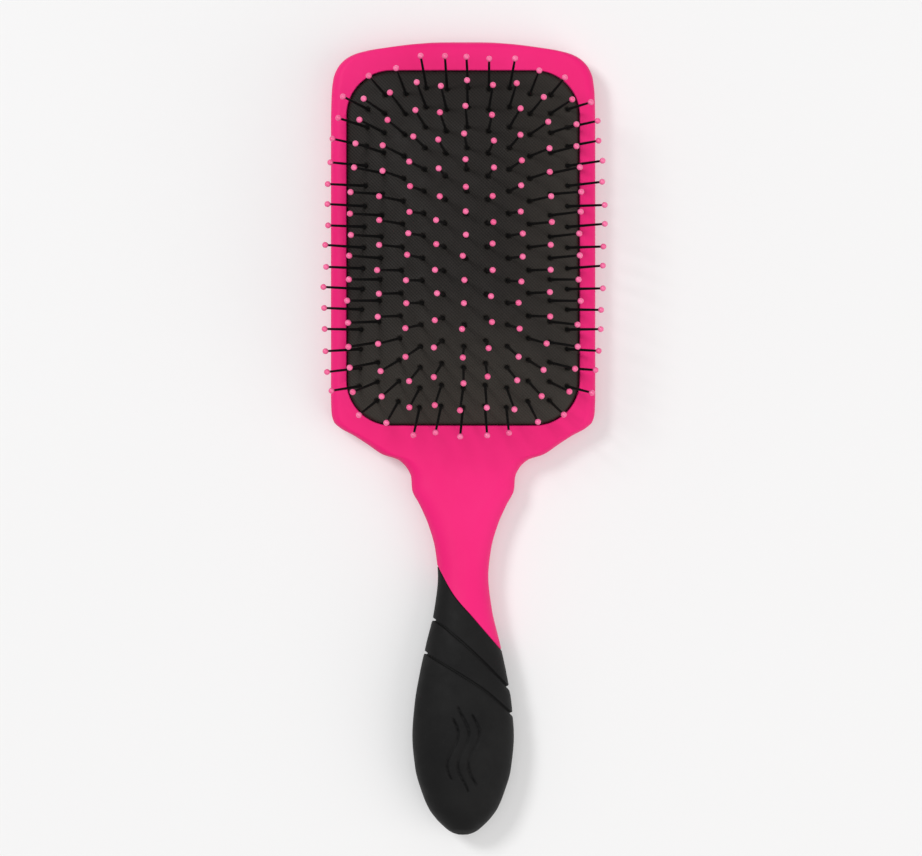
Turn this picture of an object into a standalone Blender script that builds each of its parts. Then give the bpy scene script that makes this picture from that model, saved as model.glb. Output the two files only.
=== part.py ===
"""Paddle hair brush: pink paddle, black rubber grip, domed rubber cushion and 170 ball-tipped pins.

The brush lies on its flat back, pins up (+Z), with its handle towards -Y. All lengths are in metres.
"""

import math
import random

import bmesh
import bpy
from mathutils import Euler, Vector

MM = 0.001
GAP = 0.3 * MM  # clearance between pieces that touch

# Plan of the whole brush: (distance along Y, half width), from the handle's end to the head's end
OUTLINE_MM = [
    (-131.75, 1.0), (-131.2, 2.6), (-129.6, 5.6), (-127.0, 8.5), (-123.2, 11.3), (-117.5, 13.8),
    (-110.0, 15.9), (-99.0, 16.9), (-88.0, 16.1), (-78.0, 14.4), (-68.0, 12.2), (-57.0, 9.6),
    (-46.0, 8.4), (-37.0, 9.3), (-29.0, 11.5), (-22.5, 14.3), (-17.0, 17.0), (-13.0, 17.3),
    (-9.8, 18.8), (-7.2, 21.6), (-5.4, 26.8), (-2.2, 31.6), (0.8, 36.2), (3.2, 40.6),
    (5.4, 43.0), (8.4, 43.8), (14.0, 44.0), (60.0, 44.0), (104.0, 44.0), (114.0, 43.8),
    (119.6, 43.2), (123.0, 41.9), (125.6, 39.8), (127.6, 36.6), (129.0, 31.8), (130.2, 24.4),
    (131.2, 17.0), (131.75, 11.0),
]
END_Y = OUTLINE_MM[0][0] * MM
TOP_Y = OUTLINE_MM[-1][0] * MM

# Side profile: (Y, lowest Z, highest Z, corner roundness from 0 square to 1 fully round)
PROFILE_MM = [
    (-131.75, 7.0, 12.0, 1.0), (-129.6, 3.9, 15.1, 1.0), (-123.2, 1.4, 18.0, 1.0), (-110.0, 0.2, 19.6, 1.0),
    (-99.0, 0.0, 20.0, 1.0), (-78.0, 0.5, 18.8, 1.0), (-57.0, 1.6, 16.2, 1.0), (-46.0, 1.9, 15.0, 0.95),
    (-29.0, 1.5, 14.0, 0.80), (-17.0, 0.8, 13.0, 0.58), (-5.4, 0.1, 12.2, 0.44), (3.2, 0.0, 12.0, 0.38),
    (14.0, 0.0, 12.0, 0.36), (126.0, 0.0, 12.0, 0.36), (129.6, 0.4, 11.6, 0.38), (131.1, 1.3, 10.7, 0.5),
    (131.75, 3.0, 9.0, 0.8),
]
HEAD_EDGE_RADIUS = 3.4 * MM  # how far the rounding of the head's edges reaches in from its outline
HEAD_EDGE_SHARE = 0.6  # how much of the head's half height that rounding takes
HEAD_ROUNDNESS = 0.4  # the side profile's roundness where the flat head turns into the round handle
ROUNDING_SHARE = 0.985  # keeps a sliver of flat between two roundings, so that no two points fall together
CORNER_STEPS = 5  # straight pieces in each rounded corner of a cross section

# Recess and cushion
PAD_CENTRE_Y = 63.25 * MM
PAD_HALF_X = 38.75 * MM
PAD_HALF_Y = 59.0 * MM
PAD_CORNER = 15.0 * MM
RECESS_FLOOR_Z = 3.0 * MM
RIM_Z = 11.2 * MM  # top of the cushion's rim, just below the frame's face
DOME_RISE = 11.8 * MM
DOME_POWER_X = 2.3
DOME_POWER_Y = 3.3
PAD_THICKNESS = 1.2 * MM
PAD_SKIRT = 1.8 * MM
PAD_CELLS_X = 12
PAD_CELLS_Y = 16
RETAINER_WIDTH = 1.7 * MM
CORNER_ARC_STEPS = 5

# Pins: distance of each column from the middle, its pin count and half its length along Y
COLUMNS_MM = [
    (-33.8, 15, 46.0), (-28.0, 16, 50.7), (-21.0, 15, 51.0), (-14.1, 16, 53.0), (-7.1, 15, 52.5),
    (0.0, 16, 53.0),
    (7.1, 15, 52.5), (14.1, 16, 53.0), (21.0, 15, 51.0), (28.0, 16, 50.7), (33.8, 15, 46.0),
]
PIN_LENGTH = 22.0 * MM  # from the rubber's surface to the top of the ball
PIN_SIDES = 5
STEM_BASE_RADIUS = 0.55 * MM
STEM_TIP_RADIUS = 0.38 * MM
BALL_RADIUS = 1.0 * MM
BALL_RING_ANGLES = (math.radians(-25), math.radians(35))  # above the ball's equator
PIN_LEAN = math.radians(1.6)  # how far a pin may lean at random
SIDE_LEAN = math.radians(-1.7)  # how far all of them lean to one side
COLUMN_SHIFT = 0.8 * MM  # the columns' middle, to the right of the head's
COLUMN_SLANT = 0.016  # how far the middle column drifts to the right along the head
SLANT_CHANGE = -0.014  # what the outermost column on the right adds; the one on the left takes it off
SIDE_SPLAY = math.radians(4.0)  # how far the outermost columns lean outwards beyond the rubber's own slope
LEAN_SEED = 7
END_CROWDING = 0.05  # how much closer the pins stand, seen in plan, where the rubber slopes away
HOLE_HALF_WIDTH = 0.9 * MM
HOLE_REACH = (-3.0 * MM, 2.0 * MM)  # how far a hole is cut below and above the rubber's surface
STRIP_DEPTH = 0.6 * MM  # gap between the rubber's inner face and the carrier strip
STRIP_HEIGHT = 1.0 * MM
STRIP_HALF_WIDTH = 1.1 * MM
STRIP_END = 1.3 * MM

# Grip: the edges between pink and black, and of the grooves, as (X, Y) points across the handle
GRIP_EDGE_MM = [
    (-30.0, -28.0), (-12.0, -36.0), (-8.2, -43.2), (-3.1, -52.1), (3.5, -59.6), (12.8, -70.3), (30.0, -92.0),
]
GROOVE_EDGES_MM = [
    [(-30.0, -52.0), (-9.4, -60.6), (-1.1, -66.9), (6.8, -74.1), (14.7, -82.3), (30.0, -99.0)],
    [(-30.0, -61.0), (-11.9, -71.8), (-1.2, -78.1), (7.4, -83.7), (16.3, -91.6), (30.0, -105.0)],
]
GROOVE_WIDTH = 0.8 * MM
GROOVE_DEPTH = 0.6 * MM
CORE_INSET = 2.0 * MM
CORE_TOP_Y = -40.0 * MM
CORE_END_Y = -122.0 * MM
CORE_STATIONS = 8
CORE_SIDES = 12
GRIP_BLANK_TOP_Y = -22.5 * MM  # the grip is cut from the stretch of the handle below this place
GROOVE_FLOOR_Y = (-110.0 * MM, -37.0 * MM)  # the stretch of the handle that holds both grooves
REGION_MARGIN = 10.0 * MM  # how far a cutting region runs past the handle's end
TALL = 60.0 * MM  # height of the cutting prisms

PINK = (0.86, 0.014, 0.16, 1.0)
BLACK = (0.016, 0.016, 0.017, 1.0)
CHARCOAL = (0.026, 0.022, 0.020, 1.0)
PIN_BLACK = (0.009, 0.009, 0.010, 1.0)


def clear_scene():
    """Start from an empty scene."""
    for old in list(bpy.data.objects):
        bpy.data.objects.remove(old, do_unlink=True)


def make_material(name, colour, roughness):
    material = bpy.data.materials.new(name)
    material.use_nodes = True
    shader = material.node_tree.nodes["Principled BSDF"]
    shader.inputs["Base Color"].default_value = colour
    shader.inputs["Roughness"].default_value = roughness
    shader.inputs["Metallic"].default_value = 0.0
    return material


def make_object(name, mesh_data, material, origin=Vector()):
    """An object from a bmesh whose points are in world coordinates, with its origin at the given point."""
    bmesh.ops.translate(mesh_data, vec=-origin, verts=mesh_data.verts)
    bmesh.ops.recalc_face_normals(mesh_data, faces=mesh_data.faces)
    mesh = bpy.data.meshes.new(name)
    mesh_data.to_mesh(mesh)
    mesh_data.free()
    body = bpy.data.objects.new(name, mesh)
    body.location = origin
    bpy.context.scene.collection.objects.link(body)
    if material:
        mesh.materials.append(material)
    return body


def make_cutter(name, mesh_data):
    cutter = make_object(name, mesh_data, None)
    cutter.hide_render = True
    cutter.display_type = "WIRE"
    return cutter


def apply_boolean(body, cutter, operation):
    """Cut or join at once and take the cutter away, so that the result is plain geometry."""
    modifier = body.modifiers.new(operation.lower(), "BOOLEAN")
    modifier.operation = operation
    modifier.solver = "EXACT"
    modifier.object = cutter
    bpy.context.view_layer.update()
    evaluated = body.evaluated_get(bpy.context.evaluated_depsgraph_get())
    result = bpy.data.meshes.new_from_object(evaluated)
    body.modifiers.remove(modifier)
    body.data = result
    bpy.data.objects.remove(cutter, do_unlink=True)


def interpolate(table, at):
    """Values of a table at a place along its first column, on a smooth curve that makes no overshoot."""
    index = max(i for i, row in enumerate(table[:-1]) if row[0] <= at or i == 0)
    low, high = table[index], table[index + 1]
    before = table[max(index - 1, 0)]
    after = table[min(index + 2, len(table) - 1)]
    length = high[0] - low[0]
    share = min(max((at - low[0]) / length, 0.0), 1.0)
    values = []
    for k in range(1, len(low)):
        rise = (high[k] - low[k]) / length
        slopes = []
        for here, other in ((low, before), (high, after)):
            if here is other:
                slopes.append(rise)
                continue
            outer = (here[k] - other[k]) / (here[0] - other[0])
            slopes.append(0.0 if outer * rise <= 0 else 2 * outer * rise / (outer + rise))
        square, cube = share**2, share**3
        values.append(
            (2 * cube - 3 * square + 1) * low[k]
            + (cube - 2 * square + share) * length * slopes[0]
            + (3 * square - 2 * cube) * high[k]
            + (cube - square) * length * slopes[1]
        )
    return tuple(values)


def cross_section(y, inset=0.0):
    """The ring of points of the brush's surface at one place along Y, pulled inwards by the inset."""
    half_width = interpolate(OUTLINE_MM, y / MM)[0] * MM - inset
    bottom, top, roundness = interpolate(PROFILE_MM, y / MM)
    bottom, top = bottom * MM + inset, top * MM - inset
    half_height = (top - bottom) / 2
    middle = (top + bottom) / 2
    handle_share = max(0.0, (roundness - HEAD_ROUNDNESS) / (1 - HEAD_ROUNDNESS))
    radius_x = HEAD_EDGE_RADIUS + handle_share * (half_width - HEAD_EDGE_RADIUS)
    radius_x = ROUNDING_SHARE * min(half_width, radius_x)
    radius_z = ROUNDING_SHARE * half_height * (HEAD_EDGE_SHARE + (1 - HEAD_EDGE_SHARE) * handle_share)
    ring = []
    for corner, (side, up) in enumerate(((1, 1), (-1, 1), (-1, -1), (1, -1))):
        for step in range(CORNER_STEPS + 1):
            angle = math.radians(90 * step / CORNER_STEPS + 90 * corner)
            x = side * (half_width - radius_x) + radius_x * math.cos(angle)
            z = middle + up * (half_height - radius_z) + radius_z * math.sin(angle)
            ring.append(Vector((x, y, z)))
    return ring


def loft(rings):
    """A closed solid through rings of equal point counts, with flat ends."""
    mesh_data = bmesh.new()
    rows = [[mesh_data.verts.new(p) for p in ring] for ring in rings]
    count = len(rows[0])
    for low, high in zip(rows, rows[1:]):
        for i in range(count):
            j = (i + 1) % count
            mesh_data.faces.new((low[i], low[j], high[j], high[i]))
    mesh_data.faces.new(reversed(rows[0]))
    mesh_data.faces.new(rows[-1])
    return mesh_data


def brush_blank(inset=0.0, first_y=END_Y, last_y=TOP_Y):
    """The brush's whole outer shape, or the stretch of it between two places along Y."""
    places = sorted({first_y, last_y, *(y * MM for y, _ in OUTLINE_MM if first_y < y * MM < last_y)})
    return loft([cross_section(y, inset) for y in places])


def rounded_rectangle(half_x, half_y, corner, centre_y=PAD_CENTRE_Y):
    """Points of a rounded rectangle in plan, counter-clockwise."""
    points = []
    for quarter, (side, up) in enumerate(((1, 1), (-1, 1), (-1, -1), (1, -1))):
        for step in range(CORNER_ARC_STEPS + 1):
            angle = math.radians(90 * (quarter + step / CORNER_ARC_STEPS))
            points.append(
                Vector(
                    (
                        side * (half_x - corner) + corner * math.cos(angle),
                        centre_y + up * (half_y - corner) + corner * math.sin(angle),
                        0.0,
                    )
                )
            )
    return points


def prism(points, bottom, top):
    """A closed solid over a plan outline, between two heights."""
    return loft([[Vector((p.x, p.y, z)) for p in points] for z in (bottom, top)])


def grip_region(edge_mm, shift_y):
    """A tall prism that holds everything on the handle's side of an edge across the brush."""
    edge = [Vector((x * MM, y * MM + shift_y, 0.0)) for x, y in edge_mm]
    far_y = END_Y - REGION_MARGIN
    edge += [Vector((edge[-1].x, far_y, 0.0)), Vector((edge[0].x, far_y, 0.0))]
    return prism(edge, -TALL, TALL)


def groove_band(edge_mm):
    """A thin wavy wall across the handle, where a groove runs."""
    half = GROOVE_WIDTH / 2
    upper = [Vector((x * MM, y * MM + half, 0.0)) for x, y in edge_mm]
    lower = [Vector((x * MM, y * MM - half, 0.0)) for x, y in reversed(edge_mm)]
    return prism(upper + lower, -TALL, TALL)


def handle_core(inset):
    """The stretch of the paddle that runs inside the grip, as a plainer solid."""
    rings = []
    for i in range(CORE_STATIONS):
        y = CORE_END_Y + (CORE_TOP_Y - CORE_END_Y) * i / (CORE_STATIONS - 1)
        half_width = interpolate(OUTLINE_MM, y / MM)[0] * MM - CORE_INSET + inset
        bottom, top, _ = interpolate(PROFILE_MM, y / MM)
        half_height = (top - bottom) * MM / 2 - CORE_INSET + inset
        middle = (top + bottom) * MM / 2
        ring = []
        for side in range(CORE_SIDES):
            angle = math.tau * side / CORE_SIDES
            ring.append(Vector((half_width * math.cos(angle), y, middle + half_height * math.sin(angle))))
        rings.append(ring)
    return loft(rings)


def build_paddle(material):
    body = make_object("paddle_body", brush_blank(), material)
    apply_boolean(body, make_cutter("grip_cut", grip_region(GRIP_EDGE_MM, GAP)), "DIFFERENCE")
    apply_boolean(body, make_cutter("core", handle_core(0.0)), "UNION")
    opening = rounded_rectangle(PAD_HALF_X, PAD_HALF_Y, PAD_CORNER)
    apply_boolean(body, make_cutter("recess", prism(opening, RECESS_FLOOR_Z, TALL)), "DIFFERENCE")
    return body


def build_grip(material):
    grip = make_object("grip_sleeve", brush_blank(last_y=GRIP_BLANK_TOP_Y), material)
    apply_boolean(grip, make_cutter("grip_keep", grip_region(GRIP_EDGE_MM, 0.0)), "INTERSECT")
    apply_boolean(grip, make_cutter("core_room", handle_core(GAP)), "DIFFERENCE")
    for edge_mm in GROOVE_EDGES_MM:
        groove = make_cutter("groove", groove_band(edge_mm))
        inner = make_cutter("groove_floor", brush_blank(GROOVE_DEPTH, *GROOVE_FLOOR_Y))
        apply_boolean(groove, inner, "DIFFERENCE")
        apply_boolean(grip, groove, "DIFFERENCE")
    return grip


def dome_height(x, y):
    """Height of the cushion's outer surface above its rim, at a place in plan."""
    across = min(abs(x) / PAD_HALF_X, 1.0)
    along = min(abs(y - PAD_CENTRE_Y) / PAD_HALF_Y, 1.0)
    return DOME_RISE * (1 - across**DOME_POWER_X) * (1 - along**DOME_POWER_Y)


def dome_normal(x, y):
    """The direction straight out of the cushion's surface at a place in plan."""
    step = 0.1 * MM
    slope_x = (dome_height(x + step, y) - dome_height(x - step, y)) / (2 * step)
    slope_y = (dome_height(x, y + step) - dome_height(x, y - step)) / (2 * step)
    return Vector((-slope_x, -slope_y, 1.0)).normalized()


def pin_places():
    """Every pin as (column number, 'upper' or 'lower', base point, direction), from the handle's end up."""
    lean = random.Random(LEAN_SEED)
    places = []
    for number, (x_mm, count, half_mm) in enumerate(COLUMNS_MM, start=1):
        aside = x_mm / COLUMNS_MM[-1][0]
        for i in range(count):
            share = 2 * i / (count - 1) - 1
            along = half_mm * MM * share * (1 + END_CROWDING * (1 - share**2))
            slant = COLUMN_SLANT + SLANT_CHANGE * aside
            x = x_mm * MM + COLUMN_SHIFT + slant * along
            y = PAD_CENTRE_Y + along
            base = Vector((x, y, RIM_Z + dome_height(x, y)))
            about_x = lean.uniform(-PIN_LEAN, PIN_LEAN)
            about_y = lean.uniform(-PIN_LEAN, PIN_LEAN) + SIDE_LEAN + SIDE_SPLAY * aside
            axis = dome_normal(x, y)
            axis.rotate(Euler((about_x, about_y, 0.0)))
            half = "lower" if i < count // 2 else "upper"
            places.append((number, half, base, axis))
    return places


def side_directions(axis):
    """Two directions across a pin, the first one along the brush's width."""
    along = axis.cross(Vector((1.0, 0.0, 0.0))).normalized()
    return along.cross(axis).normalized(), along


def ring_about(centre, axis, radius, sides, first_angle=0.0):
    across, along = side_directions(axis)
    return [
        centre + across * radius * math.cos(first_angle + math.tau * i / sides)
        + along * radius * math.sin(first_angle + math.tau * i / sides)
        for i in range(sides)
    ]


def add_pin(mesh_data, foot, base, axis):
    """A tapered stem with a ball on top; returns the ring of points at its foot on the carrier strip."""
    ball_centre = base + axis * (PIN_LENGTH - BALL_RADIUS)
    neck = -math.sqrt(BALL_RADIUS**2 - STEM_TIP_RADIUS**2)
    rings = [ring_about(foot, axis, STEM_BASE_RADIUS, PIN_SIDES)]
    rings.append(ring_about(ball_centre + axis * neck, axis, STEM_TIP_RADIUS, PIN_SIDES))
    for angle in BALL_RING_ANGLES:
        height = BALL_RADIUS * math.sin(angle)
        rings.append(ring_about(ball_centre + axis * height, axis, BALL_RADIUS * math.cos(angle), PIN_SIDES))
    rows = [[mesh_data.verts.new(p) for p in ring] for ring in rings]
    for low, high in zip(rows, rows[1:]):
        for i in range(PIN_SIDES):
            j = (i + 1) % PIN_SIDES
            mesh_data.faces.new((low[i], low[j], high[j], high[i]))
    top = mesh_data.verts.new(ball_centre + axis * BALL_RADIUS)
    for i in range(PIN_SIDES):
        mesh_data.faces.new((rows[-1][i], rows[-1][(i + 1) % PIN_SIDES], top))
    return rows[0]


def strip_section(centre, axis):
    """The four corners of the carrier strip's cross section, the upper two first."""
    across, _ = side_directions(axis)
    up = axis * STRIP_HEIGHT / 2
    side = across * STRIP_HALF_WIDTH
    return [centre + up + side, centre + up - side, centre - up - side, centre - up + side]


def join_foot(mesh_data, ring, corners, centre):
    """Faces between a pin's foot and the four upper corners of its stretch of strip."""
    spots = sorted(
        [(v, True) for v in ring] + [(v, False) for v in corners],
        key=lambda item: math.atan2(item[0].co.y - centre.y, item[0].co.x - centre.x),
    )
    ring_order = [v for v, on_ring in spots if on_ring]
    corner_order = [v for v, on_ring in spots if not on_ring]

    def angle(vert):
        return math.atan2(vert.co.y - centre.y, vert.co.x - centre.x)

    inner, outer = 0, 0
    while inner < len(ring_order) or outer < len(corner_order):
        a, b = ring_order[inner % len(ring_order)], corner_order[outer % len(corner_order)]
        next_a = ring_order[(inner + 1) % len(ring_order)]
        next_b = corner_order[(outer + 1) % len(corner_order)]
        turn_a = angle(next_a) + (math.tau if inner + 1 >= len(ring_order) else 0.0)
        turn_b = angle(next_b) + (math.tau if outer + 1 >= len(corner_order) else 0.0)
        if outer >= len(corner_order) or (inner < len(ring_order) and turn_a < turn_b):
            mesh_data.faces.new((a, b, next_a))
            inner += 1
        else:
            mesh_data.faces.new((a, b, next_b))
            outer += 1


def build_half_column(number, half, pins, material):
    """Half a column of pins on its carrier strip, with its origin on the line that it rocks about."""
    mesh_data = bmesh.new()
    drop = PAD_THICKNESS + STRIP_DEPTH + STRIP_HEIGHT / 2
    feet = [(base - axis * drop, axis) for base, axis in pins]
    first = feet[0][0] - (feet[1][0] - feet[0][0]).normalized() * STRIP_END
    last = feet[-1][0] + (feet[-1][0] - feet[-2][0]).normalized() * STRIP_END
    stations = [(first, feet[0][1])]
    stations += [((a + b) / 2, (u + v).normalized()) for (a, u), (b, v) in zip(feet, feet[1:])]
    stations.append((last, feet[-1][1]))
    rows = [[mesh_data.verts.new(p) for p in strip_section(*station)] for station in stations]
    for low, high in zip(rows, rows[1:]):
        for i in (1, 2, 3):
            j = (i + 1) % 4
            mesh_data.faces.new((low[i], low[j], high[j], high[i]))
    mesh_data.faces.new(rows[0])
    mesh_data.faces.new(reversed(rows[-1]))
    for (low, high), (base, axis) in zip(zip(rows, rows[1:]), pins):
        foot = base - axis * (PAD_THICKNESS + STRIP_DEPTH)
        ring = add_pin(mesh_data, foot, base, axis)
        join_foot(mesh_data, ring, [low[0], low[1], high[0], high[1]], foot)
    origin = sum((base for base, _ in pins), Vector()) / len(pins)
    return make_object(f"pin_column_{number:02d}_{half}", mesh_data, material, origin)


def build_pin_columns(places, material):
    groups = {}
    for number, half, base, axis in places:
        groups.setdefault((number, half), []).append((base, axis))
    return [build_half_column(number, half, pins, material) for (number, half), pins in groups.items()]


def pad_grid_point(column, row, shrink):
    """A point of the cushion in plan: a square grid mapped onto the rounded opening, denser at its rim."""
    half_x, half_y = PAD_HALF_X - GAP - shrink, PAD_HALF_Y - GAP - shrink
    shares = []
    for step, count in ((column, PAD_CELLS_X), (row, PAD_CELLS_Y)):
        even = 2 * step / count - 1
        shares.append((even + math.sin(math.pi / 2 * even)) / 2)
    x, y = shares[0] * half_x, shares[1] * half_y
    corner = PAD_CORNER - shrink
    reach_x, reach_y = half_x - corner, half_y - corner
    if abs(x) > reach_x and abs(y) > reach_y:
        side_x, side_y = (abs(x) - reach_x) / corner, (abs(y) - reach_y) / corner
        scale = max(side_x, side_y) / math.hypot(side_x, side_y)
        x = math.copysign(reach_x + corner * side_x * scale, x)
        y = math.copysign(reach_y + corner * side_y * scale, y)
    return x, y + PAD_CENTRE_Y


def pad_surface(mesh_data, depth):
    """One face of the domed cushion, as a grid of points that knows its columns and rows."""
    grid = {}
    for column in range(PAD_CELLS_X + 1):
        for row in range(PAD_CELLS_Y + 1):
            x, y = pad_grid_point(column, row, depth)
            on_outer_rim = depth == 0.0 and (column in (0, PAD_CELLS_X) or row in (0, PAD_CELLS_Y))
            rise = 0.0 if on_outer_rim else dome_height(x, y)
            grid[column, row] = mesh_data.verts.new((x, y, RIM_Z + rise - depth))
    for column in range(PAD_CELLS_X):
        for row in range(PAD_CELLS_Y):
            mesh_data.faces.new([grid[column + i, row + j] for i, j in ((0, 0), (1, 0), (1, 1), (0, 1))])
    return grid


def pin_hole_prisms(places):
    """One square prism through the rubber for each pin."""
    holes = bmesh.new()
    for _, _, base, axis in places:
        rows = []
        for reach in HOLE_REACH:
            corners = ring_about(base + axis * reach, axis, HOLE_HALF_WIDTH * math.sqrt(2), 4, math.pi / 4)
            rows.append([holes.verts.new(p) for p in corners])
        for i in range(4):
            j = (i + 1) % 4
            holes.faces.new((rows[0][i], rows[0][j], rows[1][j], rows[1][i]))
        holes.faces.new(reversed(rows[0]))
        holes.faces.new(rows[1])
    return holes


def build_pad(places, material):
    """The domed cushion: outer and inner faces joined by a skirt at the rim, with a hole for each pin."""
    mesh_data = bmesh.new()
    outer, inner = (pad_surface(mesh_data, depth) for depth in (0.0, PAD_THICKNESS))
    boundary = [(c, 0) for c in range(PAD_CELLS_X)] + [(PAD_CELLS_X, r) for r in range(PAD_CELLS_Y)]
    boundary += [(c, PAD_CELLS_Y) for c in range(PAD_CELLS_X, 0, -1)]
    boundary += [(0, r) for r in range(PAD_CELLS_Y, 0, -1)]
    rings = [[outer[key] for key in boundary]]
    for grid in (outer, inner):
        edge = [grid[key].co for key in boundary]
        rings.append([mesh_data.verts.new((p.x, p.y, RIM_Z - PAD_SKIRT)) for p in edge])
    rings.append([inner[key] for key in boundary])
    for upper, lower in zip(rings, rings[1:]):
        for i in range(len(boundary)):
            j = (i + 1) % len(boundary)
            mesh_data.faces.new((upper[i], upper[j], lower[j], lower[i]))
    pad = make_object("cushion_pad", mesh_data, material)
    apply_boolean(pad, make_cutter("pin_holes", pin_hole_prisms(places)), "DIFFERENCE")
    return pad


def build_retainer(material):
    """The hidden ring that holds the cushion's rim up against the frame's opening."""
    outline = rounded_rectangle(PAD_HALF_X - GAP, PAD_HALF_Y - GAP, PAD_CORNER - GAP)
    hole_inset = GAP + RETAINER_WIDTH
    hole = rounded_rectangle(PAD_HALF_X - hole_inset, PAD_HALF_Y - hole_inset, PAD_CORNER - hole_inset)
    top = RIM_Z - PAD_SKIRT - GAP
    ring = make_object("cushion_retainer", prism(outline, RECESS_FLOOR_Z + GAP, top), material)
    apply_boolean(ring, make_cutter("ring_hole", prism(hole, 0.0, TALL)), "DIFFERENCE")
    return ring


def main():
    clear_scene()
    pink = make_material("pink_soft_touch", PINK, 0.45)
    black = make_material("black_grip_rubber", BLACK, 0.6)
    rubber = make_material("charcoal_cushion_rubber", CHARCOAL, 0.65)
    nylon = make_material("black_pin_nylon", PIN_BLACK, 0.4)
    plastic = make_material("retainer_plastic", BLACK, 0.5)
    build_paddle(pink)
    build_grip(black)
    build_retainer(plastic)
    places = pin_places()
    build_pad(places, rubber)
    build_pin_columns(places, nylon)


main()
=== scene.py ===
"""Paddle hair brush, as it looks.

A soft-touch pink paddle, a grooved rubber grip, a domed rubber cushion and ball-tipped pins. The
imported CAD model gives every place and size. The pieces made here stand for its nodes and move with
its bodies.
"""

import math
import random

import bmesh
import bpy
import numpy as np
from mathutils import Euler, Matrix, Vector

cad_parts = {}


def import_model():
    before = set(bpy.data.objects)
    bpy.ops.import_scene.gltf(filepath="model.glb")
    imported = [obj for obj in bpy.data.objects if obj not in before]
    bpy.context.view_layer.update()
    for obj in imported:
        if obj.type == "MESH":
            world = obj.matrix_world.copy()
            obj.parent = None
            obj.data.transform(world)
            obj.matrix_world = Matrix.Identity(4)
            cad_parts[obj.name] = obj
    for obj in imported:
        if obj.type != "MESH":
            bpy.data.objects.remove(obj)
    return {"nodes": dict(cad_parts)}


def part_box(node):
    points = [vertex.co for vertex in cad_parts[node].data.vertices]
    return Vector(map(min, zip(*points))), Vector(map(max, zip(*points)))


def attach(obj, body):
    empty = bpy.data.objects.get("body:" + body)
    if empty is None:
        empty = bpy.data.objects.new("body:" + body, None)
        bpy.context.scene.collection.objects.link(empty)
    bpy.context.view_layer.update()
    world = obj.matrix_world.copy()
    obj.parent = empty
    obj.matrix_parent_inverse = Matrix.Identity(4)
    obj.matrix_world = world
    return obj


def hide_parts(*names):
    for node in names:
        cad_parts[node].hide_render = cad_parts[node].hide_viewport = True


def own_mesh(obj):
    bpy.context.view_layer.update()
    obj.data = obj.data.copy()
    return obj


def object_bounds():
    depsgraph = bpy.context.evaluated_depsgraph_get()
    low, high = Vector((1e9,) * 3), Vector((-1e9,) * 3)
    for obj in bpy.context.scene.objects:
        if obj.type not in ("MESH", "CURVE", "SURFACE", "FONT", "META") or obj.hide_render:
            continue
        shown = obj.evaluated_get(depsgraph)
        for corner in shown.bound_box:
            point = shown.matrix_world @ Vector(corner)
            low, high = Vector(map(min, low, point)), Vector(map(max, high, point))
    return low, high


MM = 0.001

# Plan of the whole brush: (distance along Y, half width), from the handle's end to the head's end
OUTLINE_MM = [
    (-131.75, 1.9), (-131.3, 3.3), (-130.5, 4.8), (-129.6, 5.9), (-127.0, 8.6), (-123.2, 11.4),
    (-117.5, 13.8), (-110.0, 15.9), (-99.0, 16.9), (-88.0, 16.1), (-78.0, 14.4), (-68.0, 12.2),
    (-57.0, 9.6), (-46.0, 8.4), (-37.0, 9.3), (-29.0, 11.5), (-22.5, 14.3), (-17.0, 17.0),
    (-13.0, 17.3), (-9.8, 18.8), (-7.2, 21.6), (-5.4, 26.8), (-2.2, 31.6), (0.8, 36.2),
    (3.2, 40.6), (5.4, 43.0), (8.4, 43.8), (14.0, 44.0), (60.0, 44.0), (104.0, 44.0),
    (114.0, 43.8), (119.6, 43.2), (123.0, 41.9), (125.6, 39.8), (127.6, 36.6), (129.0, 31.8),
    (130.2, 24.4), (131.2, 17.0), (131.75, 11.0),
]
END_Y = OUTLINE_MM[0][0] * MM
TOP_Y = OUTLINE_MM[-1][0] * MM
# Side profile: (Y, lowest Z, highest Z, corner roundness from 0 square to 1 fully round)
PROFILE_MM = [
    (-131.75, 7.0, 12.0, 1.0), (-129.6, 3.9, 15.1, 1.0), (-123.2, 1.4, 18.0, 1.0),
    (-110.0, 0.2, 19.6, 1.0), (-99.0, 0.0, 20.0, 1.0), (-78.0, 0.5, 18.8, 1.0),
    (-57.0, 1.6, 16.2, 1.0), (-46.0, 1.9, 15.0, 0.95), (-29.0, 1.5, 14.0, 0.80),
    (-17.0, 0.8, 13.0, 0.58), (-5.4, 0.1, 12.2, 0.44), (3.2, 0.0, 12.0, 0.38),
    (14.0, 0.0, 12.0, 0.36), (126.0, 0.0, 12.0, 0.36), (129.6, 0.4, 11.6, 0.38),
    (131.1, 1.3, 10.7, 0.5), (131.75, 3.0, 9.0, 0.8),
]
# The head's corners have one radius, and above HEAD_ROUNDNESS it grows until the section is oval
HEAD_EDGE_RADIUS = 3.4 * MM
HEAD_EDGE_SHARE = 0.6  # the head's corner radius in height, as a share of the half height
HEAD_ROUNDNESS = 0.4
ROUNDING_SHARE = 0.985  # less than 1, so that two corners never share a point
FRAME_FACE_Z = 12.0 * MM

# Where the paddle goes into the grip, and from where its rings lie straight across
CORE_INSET = 2.0 * MM
CORE_END_Y = -120.0 * MM
NECK_JOIN_Y = -12.0 * MM
PIECE_GAP = 0.06 * MM
# The pink edge beside the grip: (how far past the grip's edge, how far inwards)
PINK_EDGE = [(PIECE_GAP, 0.30 * MM), (PIECE_GAP + 0.06 * MM, 0.12 * MM), (0.45 * MM, 0.0)]
CORE_ROWS = 8
NECK_ROWS = 48
HEAD_SPACING = 0.8 * MM
PADDLE_STEPS = 24  # points in a quarter of each ring

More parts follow.
